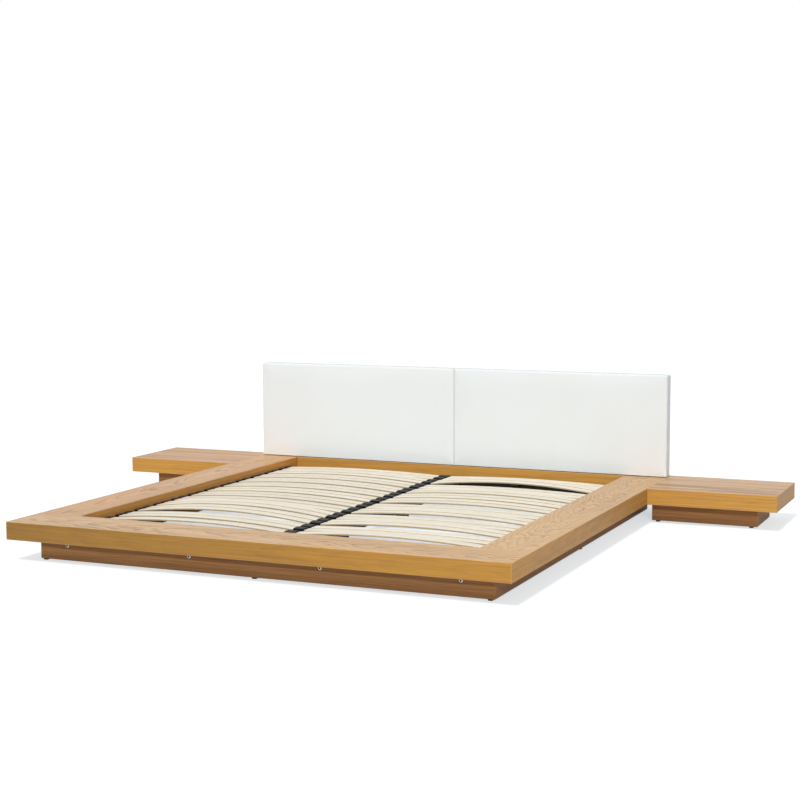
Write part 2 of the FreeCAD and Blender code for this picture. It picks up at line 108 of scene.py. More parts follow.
def ease(value, low, high):     # 0 at low, 1 at high, smooth between
    return value.node("MapRange", {"interpolation_type": "SMOOTHSTEP"},
                      {"Value": value, "From Min": low, "From Max": high})


def partly(value, low, high, share):     # the same, up to a share
    return ease(value, low, high) * share


def split(vector):
    first = vector.node("SeparateXYZ", None, {0: vector})
    return [Wire(vector.tree, out) for out in first.socket.node.outputs]


def cloud(vector, perMetre, detail=3.0, rough=0.5, seed=0.0):     # noise about 0.5, with its frequency on each axis
    placed = vector.node("Mapping", None, {"Vector": vector, "Scale": perMetre,
                                           "Location": tuple(seed * part for part in seedShift)})
    return vector.node("TexNoise", None, {"Vector": placed, "Scale": 1.0, "Detail": detail, "Roughness": rough})


def blendColour(amount, first, second, mode="MIX"):
    source = next(value for value in (amount, first, second) if isinstance(value, Wire))
    return source.node("Mix", {"data_type": "RGBA", "blend_type": mode}, {0: amount, 6: first, 7: second}, out=2)


def shade(colour, amount):     # the colour times a varying brightness
    grey = amount.node("CombineColor", None, {0: amount, 1: amount, 2: amount})
    return blendColour(1.0, colour, grey, "MULTIPLY")


def tint(red, green, blue):     # screen values 0 to 255 made linear
    parts = np.array([red, green, blue]) / 255
    return (*np.where(parts > 0.04045, ((parts + 0.055) / 1.055) ** 2.4, parts / 12.92).tolist(), 1.0)


def emptyFinish(name):
    finish = bpy.data.materials.new(name)
    finish.use_nodes = True
    finish.node_tree.nodes.clear()
    return finish, Wire(finish.node_tree)


def newFinish(name):
    finish, wire = emptyFinish(name)
    return finish, wire, wire.node("TexCoord", out="Object")


def facing(wire):     # the three parts of the normal
    return split(wire.node("NewGeometry", out="Normal"))


def closeFinish(wire, colour, rough, height, depth, fixed=None):
    bump = wire.node("Bump", None, {"Distance": depth, "Height": height})
    shader = wire.node("BsdfPrincipled", None,
                       {"Base Color": colour, "Roughness": rough, "Normal": bump, **(fixed or {})})
    wire.node("OutputMaterial", None, {"Surface": shader})


def grainPlace(place, turned):     # place with the grain along its first axis
    return place.node("Mapping", None, {"Vector": place, "Rotation": (0, 0, -math.pi / 2 if turned else 0)})


def longPlace(place, node):     # the same, where the grain follows the longer side of the node's box
    low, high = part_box(node)
    return grainPlace(place, high.y - low.y > high.x - low.x)


def paintedArrisHighlight(place, node, near, far):
    # 1 on the edges of the node's box, where a highlight is painted; the gap to the nearest edge is the middle one of
    # the gaps to its faces
    low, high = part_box(node)
    gaps = [least(axis - low[i], high[i] - axis) for i, axis in enumerate(split(place))]
    gap = most(least(gaps[0], gaps[1]), least(most(gaps[0], gaps[1]), gaps[2]))
    return 1 - ease(gap, near, far)


# ledges and table tops: leaves of oak veneer, one grain direction to a board

oakLook = {
    "line": tint(138, 88, 52), "streak": tint(152, 104, 50), "blush": tint(196, 134, 56),
    "arris": tint(240, 208, 156), "pore": tint(120, 80, 42),
    "rough": 0.36, "edgeRough": 0.14, "poreRough": 0.2, "lineRough": 0.08, "patchRough": 0.1,
    "bump": 0.0003, "poreDepth": 0.6, "lineDepth": 0.4, "specular": 0.5,
    # noise per metre along the grain, across it and up
    "driftRate": (1.3, 3.5, 3.5), "rippleRate": (7, 24, 24), "strengthRate": (2.0, 8, 8),
    "streakRate": (1.9, 110, 150), "bandRate": (1.3, 24, 60), "patchRate": (1.1, 6, 9),
    "poreRate": (22, 700, 700), "blushRate": (2.4, 9, 12),
    # how far drift bends the rings, in metres, and the rings on the edges
    "sideDrift": 0.07, "depthDrift": 0.05, "edgeDrift": 0.06,
    "edgeRing": 0.011, "edgeRipple": 1.2, "edgeDip": 0.25,
    # where in its step a ring line darkens and ends, on top and on the edges
    "lineRise": (0.45, 0.90), "lineFall": (0.92, 1.0), "edgeRise": (0.3, 0.9), "edgeFall": (0.9, 1.0),
    "faintest": 0.35, "faintRange": (0.3, 0.6), "bandRange": (0.47, 0.62), "poreRange": (0.60, 0.72),
    # range and share of what is laid over the ground colour
    "topStreak": (0.45, 0.8, 0.40), "edgeStreak": (0.38, 0.72, 0.46), "edgeBlush": (0.5, 0.7, 0.30),
    "edgeLine": 0.16, "poreShare": 0.25, "arrisShare": 0.15, "arrisGap": (0.0014, 0.0034),
    "ground": 0.90, "patchShade": 0.20,
}
# painted light from above: each board's top colour is paler than its edge colour
oakBoards = {
    # lines and the two brightness sweeps run from the first end of the board to the last; the sweeps are painted light
    # falling off along the board, and ends is painted light and shade on the end faces
    "front_ledge": {
        "along": "x", "top": tint(223, 178, 117), "edge": tint(197, 144, 55),
        "lightFalloff": (0.88, 0.99), "edgeLightFalloff": (0.60, 0.96), "lines": (0.50, 0.62), "bands": 0.20, "ends": 1.16,
        "pith": -1.06, "start": 1.9, "dip": 0.08, "ring": 0.013, "ripple": 2.4, "seed": 1.3},
    "left_side_ledge": {
        "along": "y", "top": tint(208, 157, 98), "edge": tint(212, 148, 62),
        "lightFalloff": (0.94, 1.04), "edgeLightFalloff": (0.94, 1.04), "lines": (0.50, 0.70), "bands": 0.15, "ends": 1.0,
        "pith": -1.01, "start": 1.7, "dip": 0.05, "ring": 0.011, "ripple": 1.8, "seed": 2.1},
    "right_side_ledge": {
        "along": "y", "top": tint(218, 174, 116), "edge": tint(204, 149, 72),
        "lightFalloff": (1.03, 0.95), "edgeLightFalloff": (1.06, 0.80), "lines": (0.25, 0.95), "bands": 0.12, "ends": 1.0,
        "pith": 1.02, "start": 1.45, "dip": 0.10, "ring": 0.0095, "ripple": 3.2, "seed": 3.7},
    "rear_ledge": {
        "along": "x", "top": tint(218, 172, 116), "edge": tint(204, 149, 62),
        "lightFalloff": (0.96, 1.03), "edgeLightFalloff": (0.96, 1.03), "lines": (0.4, 0.4), "bands": 0.15, "ends": 1.0,
        "pith": 1.30, "start": 2.5, "dip": 0.03, "ring": 0.020, "ripple": 0.8, "seed": 4.4},
    "left_bedside_top": {
        "along": "x", "top": tint(202, 154, 95), "edge": tint(206, 150, 60),
        "lightFalloff": (1.0, 1.0), "edgeLightFalloff": (1.0, 1.0), "lines": (0.35, 0.35), "bands": 0.60, "ends": 0.84,
        "pith": 0.35, "start": 0.6, "dip": 0.02, "ring": 0.034, "ripple": 0.7, "seed": 5.2},
    "right_bedside_top": {
        "along": "x", "top": tint(206, 165, 114), "edge": tint(205, 150, 64),
        "lightFalloff": (1.0, 1.0), "edgeLightFalloff": (1.0, 1.0), "lines": (0.35, 0.35), "bands": 0.85, "ends": 0.82,
        "pith": 0.35, "start": -0.6, "dip": 0.02, "ring": 0.034, "ripple": 0.7, "seed": 6.8},
}


def ringLine(ring, rise, fall):     # the dark side of each growth ring
    step = ring.math("FRACT", ring)
    return ease(step, *rise) * (1 - ease(step, *fall))


def oakVeneer(node, grain):
    look = oakLook
    finish, wire, place = newFinish("oakVeneer_" + node)
    low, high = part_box(node)
    x, y, z = split(place)
    faceX, faceY, faceZ = facing(wire)
    turned = grain["along"] == "y"
    along, across, endFace = (y, x, faceY) if turned else (x, y, faceX)
    first, last = (low.y, high.y) if turned else (low.x, high.x)
    # the board's own space, grain along its first axis, and the same turned for the veneer on its two ends
    board, ends = grainPlace(place, turned), grainPlace(place, not turned)

    def noise(kind, seedStep, space=board, detail=2, rough=0.5):
        return cloud(space, look[kind + "Rate"], detail, rough, grain["seed"] + seedStep)

    def sweep(key):     # from one end of the board to the other
        return run * (grain[key][1] - grain[key][0]) + grain[key][0]

    run = (along - first) / (last - first)
    onEnd = ease(abs(endFace), *facesFrom)
    upward = ease(faceZ, *facesFrom)
    # ring radius: root of (side squared plus depth squared); the depth grows along the board, so rings cut it in arches
    drift = noise("drift", 0) - 0.5
    ripple = noise("ripple", 1) - 0.5
    side = across - grain["pith"] + drift * look["sideDrift"]
    depth = (along - grain["start"]) * grain["dip"] + drift * look["depthDrift"]
    ring = (side * side + depth * depth) ** 0.5 / grain["ring"] + ripple * grain["ripple"]
    strength = look["faintest"] + partly(noise("strength", 2), *look["faintRange"], 1 - look["faintest"])
    line = ringLine(ring, look["lineRise"], look["lineFall"]) * strength
    # the same arches on the edges, round the middle of their height
    height = z - (low.z + high.z) / 2 + drift * look["edgeDrift"]
    edgeRing = (height * height + depth * depth * look["edgeDip"]) ** 0.5 / look["edgeRing"]
    edgeRing = edgeRing + ripple * look["edgeRipple"]
    edgeLine = ringLine(edgeRing, look["edgeRise"], look["edgeFall"]) * (1 - onEnd)
    # straight streaks, on the edges above all, and fine pores everywhere
    streak = noise("streak", 3, board, 4, 0.6)
    streak = streak + (noise("streak", 7, ends, 4, 0.6) - streak) * onEnd
    bands = ease(noise("band", 8), *look["bandRange"])
    patch = noise("patch", 4)
    pores = ease(noise("pore", 5), *look["poreRange"])
    top = blendColour(line * sweep("lines"), grain["top"], look["line"])
    top = blendColour(bands * grain["bands"], top, look["streak"])
    top = blendColour(partly(streak, *look["topStreak"]), top, look["line"])
    edge = blendColour(partly(streak, *look["edgeStreak"]) + edgeLine * look["edgeLine"], grain["edge"], look["streak"])
    edge = blendColour(partly(noise("blush", 9), *look["edgeBlush"]), edge, look["blush"])
    # painted light: upper faces take the paler top colour, the others the darker edge colour
    colour = blendColour(upward, edge, top)
    colour = blendColour(pores * look["poreShare"], colour, look["pore"])
    # painted light falling off along the board, on the edges and on the top
    edgeLightFalloff = sweep("edgeLightFalloff")
    lightFalloff = edgeLightFalloff + (sweep("lightFalloff") - edgeLightFalloff) * upward
    # painted light and shade: ends brightens or darkens the end faces
    colour = shade(colour, lightFalloff * (look["ground"] + patch * look["patchShade"]) * (1 + onEnd * (grain["ends"] - 1)))
    # painted highlight along the edges
    colour = blendColour(paintedArrisHighlight(place, node, *look["arrisGap"]) * look["arrisShare"], colour, look["arris"])
    rough = look["rough"] + (1 - upward) * look["edgeRough"] + pores * look["poreRough"] + line * look["lineRough"]
    rough = rough + (patch - 0.5) * look["patchRough"]
    closeFinish(wire, colour, rough, 1 - pores * look["poreDepth"] - line * look["lineDepth"], look["bump"],
                {"Specular IOR Level": look["specular"]})
    return finish


# plinths: brown veneer, straight grain along each board

plinthLook = {
    "pale": tint(190, 138, 87), "dark": tint(158, 112, 70), "arris": tint(206, 172, 132),
    "rough": 0.60, "poreRough": 0.15, "patchRough": 0.1, "bump": 0.0002, "poreDepth": 0.5, "specular": 0.25,
    "streakRate": (3.0, 170, 210), "patchRate": (1.5, 8, 14), "poreRate": (30, 800, 800),
    "streakRange": (0.3, 0.7), "poreRange": (0.58, 0.7),
    "ground": 0.86, "patchShade": 0.28, "poreShade": 0.12,
    "floorShade": 0.76, "rise": (0.0, 0.75, 0.26), "arrisGap": (0.0008, 0.0024), "arrisShare": 0.25, "seedStep": 0.37,
}


def plinthVeneer(node, seed):
    look = plinthLook
    finish, wire, place = newFinish("plinthVeneer_" + node)
    low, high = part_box(node)
    board = longPlace(place, node)
    streak = cloud(board, look["streakRate"], 4, 0.6, seed)
    patch = cloud(board, look["patchRate"], 2, 0.5, seed + 1)
    pores = ease(cloud(board, look["poreRate"], 2, 0.5, seed + 2), *look["poreRange"])
    colour = blendColour(ease(streak, *look["streakRange"]), look["pale"], look["dark"])
    rise = (split(place)[2] - low.z) / (high.z - low.z)     # painted shade: darker towards the floor
    ground = look["ground"] + patch * look["patchShade"] - pores * look["poreShade"]
    colour = shade(colour, ground * (look["floorShade"] + partly(rise, *look["rise"])))
    # painted highlight along the edges
    colour = blendColour(paintedArrisHighlight(place, node, *look["arrisGap"]) * look["arrisShare"], colour, look["arris"])
    if node == "plinth_rear":     # painted shade: its inside face takes the dark beam colour, for the shade beneath the deck
        colour = blendColour(ease(0 - facing(wire)[1], *facesFrom), colour, stainedLook["dark"])
    rough = look["rough"] + pores * look["poreRough"] + (patch - 0.5) * look["patchRough"]
    closeFinish(wire, colour, rough, streak - pores * look["poreDepth"], look["bump"],
                {"Specular IOR Level": look["specular"]})
    return finish


# plain timber, backing board, plastic and steel

timberLook = {"pale": tint(222, 190, 142), "dark": tint(176, 132, 82)}
stainedLook = {"pale": tint(52, 46, 42), "dark": tint(30, 26, 24)}
sawnLook = {
    "streakRate": (2.0, 90, 90), "fuzzRate": (60, 600, 600), "streakRange": (0.35, 0.75),
    "ground": 0.9, "fuzzShade": 0.2, "rough": 0.62, "fuzzRough": 0.16, "streakDepth": 0.5, "bump": 0.0003,
    "arrisGap": (0.001, 0.003), "arrisShare": 0.3, "seedStep": 0.53,
}
backingLook = {
    "pale": tint(176, 146, 108), "dark": tint(138, 108, 74), "flakeRate": 260.0, "dustRate": (900, 900, 900),
    "ground": 0.88, "dustShade": 0.24, "rough": 0.7, "flakeRough": 0.12, "dustDepth": 0.5, "bump": 0.0002,
}
# the paler second colours are painted light on upward faces, plus scuffs and specks of wear
plasticLook = {
    "cap": tint(7, 6, 6), "capLitAndWorn": tint(74, 74, 75), "glide": tint(46, 42, 40), "glideLitAndWorn": tint(74, 68, 64),
    "capRough": 0.55, "glideRough": 0.5, "scuffRough": 0.15, "speckRough": 0.08, "bump": 0.00012, "specular": 0.05,
    "speckRate": (1400, 1400, 1400), "scuffRate": (60, 60, 90), "scuffRange": (0.5, 0.78),
    "paintedTopLight": (0.84, 0.98, 0.84), "scuffShare": 0.10, "speckShare": 0.06,
}
steelLook = {
    "shadeDark": tint(44, 44, 46), "shadeDarkDull": tint(30, 29, 29), "shadeDarkRough": 0.42,
    "zinc": tint(198, 202, 205), "zincDull": tint(156, 160, 164), "zincRough": 0.28,
    "bolt": tint(214, 210, 200), "boltDull": tint(150, 146, 138), "boltRough": 0.24, "socket": tint(40, 38, 36),
    "brushRate": (40, 900, 1400), "bloomRate": (45, 45, 45), "bloom": (0.35, 0.75, 0.7), "brushShare": 0.2,
    "brushRough": 0.14, "bloomRough": 0.08, "bump": 0.00005,
}
# painted shade: these brackets and hangers get dark steel in place of their slot's finish, for the deep shade they sit
# in
shadedBrackets = ("ledge_brackets", "beam_hanger_front", "beam_hanger_rear")


def sawnTimber(node, seed, timber):
    look = sawnLook
    finish, wire, place = newFinish("sawnTimber_" + node)
    board = longPlace(place, node)
    streak = cloud(board, look["streakRate"], 4, 0.55, seed)
    fuzz = cloud(board, look["fuzzRate"], 2, 0.5, seed + 1)
    colour = blendColour(ease(streak, *look["streakRange"]), timber["pale"], timber["dark"])
    colour = shade(colour, look["ground"] + fuzz * look["fuzzShade"])
    # painted highlight along the edges
    colour = blendColour(paintedArrisHighlight(place, node, *look["arrisGap"]) * look["arrisShare"], colour, timber["pale"])
    rough = look["rough"] + fuzz * look["fuzzRough"]
    closeFinish(wire, colour, rough, streak * look["streakDepth"] + fuzz, look["bump"])
    return finish


def backingBoard():     # pressed wood flakes
    look = backingLook
    finish, wire, place = newFinish("backingBoard")
    flake = split(wire.node("TexVoronoi", None, {"Vector": place, "Scale": look["flakeRate"]}, out="Color"))[0]
    dust = cloud(place, look["dustRate"], 2)
    colour = blendColour(flake, look["pale"], look["dark"])
    colour = shade(colour, look["ground"] + dust * look["dustShade"])
    rough = look["rough"] + flake * look["flakeRough"]
    closeFinish(wire, colour, rough, flake + dust * look["dustDepth"], look["bump"])
    return finish


def mouldedPlastic(kind):
    look = plasticLook
    finish, wire, place = newFinish(kind + "Plastic")
    speck = cloud(place, look["speckRate"], 2, 0.6)
    scuff = ease(cloud(place, look["scuffRate"], 4, 0.65, 2.0), *look["scuffRange"])
    paintedTopLight = partly(facing(wire)[2], *look["paintedTopLight"])     # painted light: paler on top, darker on the sides and fronts
    litAndWorn = paintedTopLight + scuff * look["scuffShare"] + speck * look["speckShare"]
    colour = blendColour(litAndWorn, look[kind], look[kind + "LitAndWorn"])
    rough = look[kind + "Rough"] + scuff * look["scuffRough"] + speck * look["speckRough"]
    closeFinish(wire, colour, rough, speck, look["bump"], {"Specular IOR Level": look["specular"]})
    return finish


def platedSteel(kind):
    look = steelLook
    finish, wire, place = newFinish(kind + "Steel")
    socket = wire.node("Attribute", {"attribute_name": "socketShade"}, out="Fac")
    brush = cloud(place, look["brushRate"], 3, 0.6)
    bloom = cloud(place, look["bloomRate"], 3, 0.6, 4.0)
    colour = blendColour(partly(bloom, *look["bloom"]) + brush * look["brushShare"], look[kind], look[kind + "Dull"])
    colour = blendColour(socket, colour, look["socket"])
    rough = look[kind + "Rough"] + brush * look["brushRough"] + bloom * look["bloomRough"]
    closeFinish(wire, colour, rough, brush, look["bump"], {"Metallic": 1.0})
    return finish


capPlastic, glidePlastic = mouldedPlastic("cap"), mouldedPlastic("glide")
shadeDarkSteel, zincSteel, boltSteel = platedSteel("shadeDark"), platedSteel("zinc"), platedSteel("bolt")

# CAD nodes that keep their shape get their finish here
slotFinish = {"zinc_steel": zincSteel, "glide_plastic": glidePlastic, "backing_wood": backingBoard()}
for count, (name, piece) in enumerate(sorted(nodes.items())):
    slotName = piece.material_slots[0].material.name.split(".")[0]
    if slotName == "ledge_veneer":
        finish = oakVeneer(name, oakBoards[name])
    elif slotName == "plinth_veneer":
        finish = plinthVeneer(name, 1.0 + count * plinthLook["seedStep"])
    elif slotName in ("inner_wood", "dark_timber"):
        timber = timberLook if slotName == "inner_wood" else stainedLook
        finish = sawnTimber(name, 1.0 + count * sawnLook["seedStep"], timber)
    else:
        # painted shade: the brackets in deep shade get the dark steel
        finish = shadeDarkSteel if name in shadedBrackets else slotFinish.get(slotName)
    if finish:
        piece.material_slots[0].material = finish
print("CAD boards, steel and plastic finished")


# meshes from whole arrays

shellGap, coverGap, noLength = 1e-6, 1e-5, 1e-9     # points this close are one, in metres


def loopFaces(rings, around):     # quads of a grid that closes round on itself
    row, col = np.meshgrid(np.arange(rings - 1), np.arange(around), indexing="ij")
    nextCol = (col + 1) % around
    here, there = row * around, (row + 1) * around
    return np.stack([here + col, here + nextCol, there + nextCol, there + col], -1).reshape(-1, 4)


def softRectangle(halfWide, halfHigh, radius, cornerSteps=4):     # four quarter arcs, one round each corner centre
    turn = np.linspace(0, math.pi / 2, cornerSteps + 1)
    angle = (turn[None, :] + np.arange(4)[:, None] * math.pi / 2).ravel()
    signs = np.repeat(np.array([[1, 1], [-1, 1], [-1, -1], [1, -1]]), cornerSteps + 1, axis=0)
    return signs * [halfWide - radius, halfHigh - radius] + radius * np.stack([np.cos(angle), np.sin(angle)], -1)


def closeEnds(rings):     # one more ring at each end, drawn in to the middle, so the shell is closed
    first = np.broadcast_to(rings[0].mean(0), rings[0].shape)
    last = np.broadcast_to(rings[-1].mean(0), rings[-1].shape)
    return np.concatenate([first[None], rings, last[None]])


def weld(mesh, distance, collapsed=None):
    # joins points that meet, drops collapsed faces if asked, and turns all faces outwards
    work = bmesh.new()
    work.from_mesh(mesh)
    bmesh.ops.remove_doubles(work, verts=work.verts, dist=distance)
    if collapsed:
        bmesh.ops.dissolve_degenerate(work, edges=work.edges, dist=collapsed)
    bmesh.ops.recalc_face_normals(work, faces=work.faces)
    work.to_mesh(mesh)
    work.free()


def smoothFaces(mesh):
    mesh.polygons.foreach_set("use_smooth", np.full(len(mesh.polygons), True))


def linkPiece(name, data):
    piece = bpy.data.objects.new(name, data)
    bpy.context.scene.collection.objects.link(piece)
    return piece


def dress(piece, replaced=()):
    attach(piece, "root")
    if replaced:
        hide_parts(*replaced)


def makePiece(name, shells, finish, replaced=(), extras=None):
    # shells: arrays of rings x points x 3; extras: values for each point, joined in the same order
    sizes = [shell.shape[0] * shell.shape[1] for shell in shells]
    starts = np.concatenate([[0], np.cumsum(sizes)[:-1]])
    points = np.concatenate([shell.reshape(-1, 3) for shell in shells])
    faces = np.concatenate([loopFaces(*shell.shape[:2]) + start for shell, start in zip(shells, starts)])
    mesh = bpy.data.meshes.new(name)
    mesh.from_pydata(points.tolist(), [], faces.tolist())
    for key, values in (extras or {}).items():
        mesh.attributes.new(key, "FLOAT", "POINT").data.foreach_set("value", np.asarray(values, np.float32))
    weld(mesh, shellGap)
    smoothFaces(mesh)
    mesh.materials.append(finish)
    dress(linkPiece(name, mesh), replaced)


# slats: bent birch plywood, a soft rectangle carried along an arc

slatShape = {
    "width": 0.053, "thick": 0.008, "round": 0.0026, "twin": 0.033, "inner": 0.003, "outer": 0.895,
    "endHeight": 0.126, "bow": 0.022, "raisedBow": 0.033, "slackBow": 0.013, "footBow": 0.007,
    "steps": 44, "vary": 0.0009, "toneSpread": 0.6, "sideShade": 0.2,
}
slatRows = {-1: {"raised": (3, 4), "slack": (12,)}, 1: {"raised": (11,), "slack": (2, 4, 6, 10, 12)}}
slatLook = {
    "pale": tint(245, 237, 220), "warm": tint(231, 217, 190), "knot": tint(204, 182, 146),
    "edge": tint(200, 182, 146), "glue": tint(136, 112, 80), "plies": 5.0, "glueRange": (0.28, 0.42),
    "rough": 0.42, "fleckRough": 0.1, "streakRough": 0.12, "bump": 0.00012, "fleckDepth": 0.5,
    "streakRate": (2.2, 95, 40), "flameRate": (7, 30, 10), "fleckRate": (45, 900, 400), "toneShift": (9.0, 3.0),
    "streak": (0.35, 0.75, 0.75), "flame": (0.58, 0.8, 0.35), "fleckRange": (0.62, 0.75),
    "ground": 0.93, "toneShade": 0.12, "fleckShade": 0.08, "flatRange": (0.35, 0.75),
}


def birchPly():
    look = slatLook
    finish, wire, place = newFinish("birchPly")
    # random tone of each slat plus painted shade on the left column
    tone = wire.node("Attribute", {"attribute_name": "slatToneAndShade"}, out="Fac")
    ply = wire.node("Attribute", {"attribute_name": "plyHeight"}, out="Fac")
    alongShift, acrossShift = look["toneShift"]     # each slat is cut from another part of the sheet
    shift = wire.node("CombineXYZ", None, {0: tone * alongShift, 1: tone * acrossShift, 2: 0.0})
    shifted = place.node("VectorMath", {"operation": "ADD"}, {0: place, 1: shift})
    streak = cloud(shifted, look["streakRate"], 4, 0.6, 1.0)
    flame = cloud(shifted, look["flameRate"], 3, 0.6, 3.0)
    fleck = ease(cloud(shifted, look["fleckRate"], 2, 0.5, 5.0), *look["fleckRange"])
    colour = blendColour(partly(streak, *look["streak"]), look["pale"], look["warm"])
    colour = blendColour(partly(flame, *look["flame"]), colour, look["knot"])
    colour = shade(colour, look["ground"] + tone * look["toneShade"] - fleck * look["fleckShade"])
    layer = ply * look["plies"]
    glue = ease(abs(layer.math("FRACT", layer) - 0.5), *look["glueRange"])
    edge = blendColour(glue, look["edge"], look["glue"])
    onEdge = 1 - ease(abs(facing(wire)[2]), *look["flatRange"])
    colour = blendColour(onEdge, colour, edge)
    rough = look["rough"] + fleck * look["fleckRough"] + (streak - 0.5) * look["streakRough"]
    closeFinish(wire, colour, rough, streak + fleck * look["fleckDepth"], look["bump"])
    return finish


def slatArc(side, bow):     # half length, middle, and radius of the circle through both ends, bow high in the middle
    half = (slatShape["outer"] - slatShape["inner"]) / 2
    middle = side * (slatShape["outer"] + slatShape["inner"]) / 2
    return half, middle, (half ** 2 + bow ** 2) / (2 * bow)


def arcHeight(x, side, bow):     # middle line of a slat
    middle, radius = slatArc(side, bow)[1:]
    return slatShape["endHeight"] + bow - radius + np.sqrt(radius ** 2 - (x - middle) ** 2)


def bentSlat(side, yMiddle, bow):
    # point: the circle's centre plus (radius + profile height) turned by the angle along the slat
    half, middle, radius = slatArc(side, bow)
    reach = math.asin(half / radius)
    angle = np.linspace(-reach, reach, slatShape["steps"] + 1)[:, None]
    profile = softRectangle(slatShape["width"] / 2, slatShape["thick"] / 2, slatShape["round"])
    across, height = profile[:, 0][None, :], profile[:, 1][None, :]
    x = middle + (radius + height) * np.sin(angle)
    z = slatShape["endHeight"] + bow - radius + (radius + height) * np.cos(angle)
    rings = closeEnds(np.stack([x, yMiddle + across + 0 * angle, z], -1))
    ply = np.broadcast_to(profile[:, 1] / slatShape["thick"] + 0.5, rings.shape[:2])
    return rings, ply.ravel()


def slatBow(row, side, offset):
    # most pairs bow alike, a few stand proud or lie low, and the first slat is nearly straight
    if row == 1 and offset < 0:
        return slatShape["footBow"]
    if row in slatRows[side]["raised"]:
        return slatShape["raisedBow"]
    return slatShape["slackBow"] if row in slatRows[side]["slack"] else slatShape["bow"]


def rowMiddle(node):
    low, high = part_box(node)
    return (low.y + high.y) / 2


slatFinish = birchPly()
rowNodes = sorted(name for name in nodes if name.startswith("slat_row_"))
for row, name in enumerate(rowNodes, 1):
    middle = rowMiddle(name)
    shells, plies, tones = [], [], []
    for side in (-1, 1):
        for offset in (-1, 1):
            bow = slatBow(row, side, offset) + chance.uniform(-1, 0.2) * slatShape["vary"]
            rings, ply = bentSlat(side, middle + offset * slatShape["twin"], bow)
            # painted shade: the left column is a little darker, for light that falls off to the left
            tone = chance.uniform() * slatShape["toneSpread"] + (side + 1) * slatShape["sideShade"]
            shells.append(rings)
            plies.append(ply)
            tones.append(np.full(len(ply), tone))
    makePiece("slatRow" + name[-2:], shells, slatFinish, [name],
              {"plyHeight": np.concatenate(plies), "slatToneAndShade": np.concatenate(tones)})
print("slats bent,", len(rowNodes), "rows")


# caps: moulded twin sleeves, a bridge between them and a peg below

capShape = {
    "halfWide": 0.0287, "bottom": 0.1157, "lipRise": 0.0078, "dome": 0.0042, "sideDome": 0.0024, "room": 0.0005,
    "mouth": 0.026, "stop": 0.004, "flat": (0.012, 0.003), "sideMouth": 0.879, "sideStop": 0.894, "sideBack": 0.900,
    "depth": 0.021, "lip": 0.0015, "lipIn": 0.0006, "lipOut": 0.0008, "backRound": 0.0012,
    "socketRound": 0.0028, "socketFull": 0.95, "socketSteps": 5,
    "around": 24, "topPower": 2.7, "lowPower": 7.0, "bridgeHalf": 0.016, "bridgeTop": 0.1207, "bridgeRound": 0.003,
    "bridgeSteps": (-0.0062, -0.003, 0.0, 0.003, 0.0062), "saddle": 0.12,
    "pegRadius": 0.0055, "pegTip": 0.75, "pegTaper": 0.0015, "pegSunk": 0.001, "pegAround": 16,
}


def signedPower(value, power):
    return np.sign(value) * np.abs(value) ** power


def sleeveRing(x, yMiddle, side, bow, inner, grow=0.0):
    # a loop in the upright plane at x: round the slat when inner, else a domed sleeve down to the batten
    height = arcHeight(np.clip(abs(x), slatShape["inner"], slatShape["outer"]) * side, side, bow)
    if inner:
        wide = slatShape["width"] / 2 + capShape["room"] + grow
        high = slatShape["thick"] / 2 + capShape["room"] + grow
        radius = min(capShape["socketRound"] + grow, high * capShape["socketFull"])
        loop = softRectangle(wide, high, radius, capShape["socketSteps"])
    else:
        # a superellipse, rounder above than below; the dome swells from the mouth in a quarter circle
        if abs(x) <= capShape["mouth"]:
            inwards, dome = 1 - abs(x) / capShape["mouth"], capShape["dome"]
        else:
            inwards, dome = (abs(x) - capShape["sideMouth"]) / capShape["depth"], capShape["sideDome"]
        rise = capShape["lipRise"] + dome * math.sqrt(max(0.0, 1 - (1 - inwards) ** 2))
        around = capShape["around"]
        angle = np.linspace(0, 2 * math.pi, around, endpoint=False) + math.pi / around
        upper = np.sin(angle) > 0
        power = 2 / np.where(upper, capShape["topPower"], capShape["lowPower"])
        reach = np.where(upper, rise, height - capShape["bottom"]) - grow
        loop = np.stack([signedPower(np.cos(angle), power) * (capShape["halfWide"] - grow),
                         signedPower(np.sin(angle), power) * reach], -1)
    return np.stack([np.full(len(loop), x), yMiddle + loop[:, 0], height + loop[:, 1]], -1)


def centreSleeve(yMiddle, bowLeft, bowRight):
    # rings run from inside the left socket, out over its lip, across the top and back into the right socket
    mouth, lip = capShape["mouth"], capShape["lip"]
    rings = [(capShape["stop"], True, 0.0), (mouth - lip, True, 0.0), (mouth, True, capShape["lipIn"]),
             (mouth, False, capShape["lipOut"]), (mouth - lip, False, 0.0), (mouth - 4 * lip, False, 0.0)]
    rings += [(x, False, 0.0) for x in capShape["flat"]]
    left = [sleeveRing(-x, yMiddle, -1, bowLeft, inner, grow) for x, inner, grow in rings]
    right = [sleeveRing(x, yMiddle, 1, bowRight, inner, grow) for x, inner, grow in reversed(rings)]
    return closeEnds(np.stack(left + right))


def sideSleeve(yMiddle, side, bow):
    # rings run from inside the socket, out over its lip and along the top to the back
    mouth, back, lip = capShape["sideMouth"], capShape["sideBack"], capShape["lip"]
    rings = [(capShape["sideStop"], True, 0.0), (mouth + lip, True, 0.0), (mouth, True, capShape["lipIn"]),
             (mouth, False, capShape["lipOut"]), (mouth + lip, False, 0.0), (mouth + 4 * lip, False, 0.0),
             (mouth + 10 * lip, False, 0.0), (back - lip, False, 0.0), (back - lip * 0.1, False, capShape["backRound"])]
    return closeEnds(np.stack([sleeveRing(side * x, yMiddle, side, bow, inner, grow) for x, inner, grow in rings]))


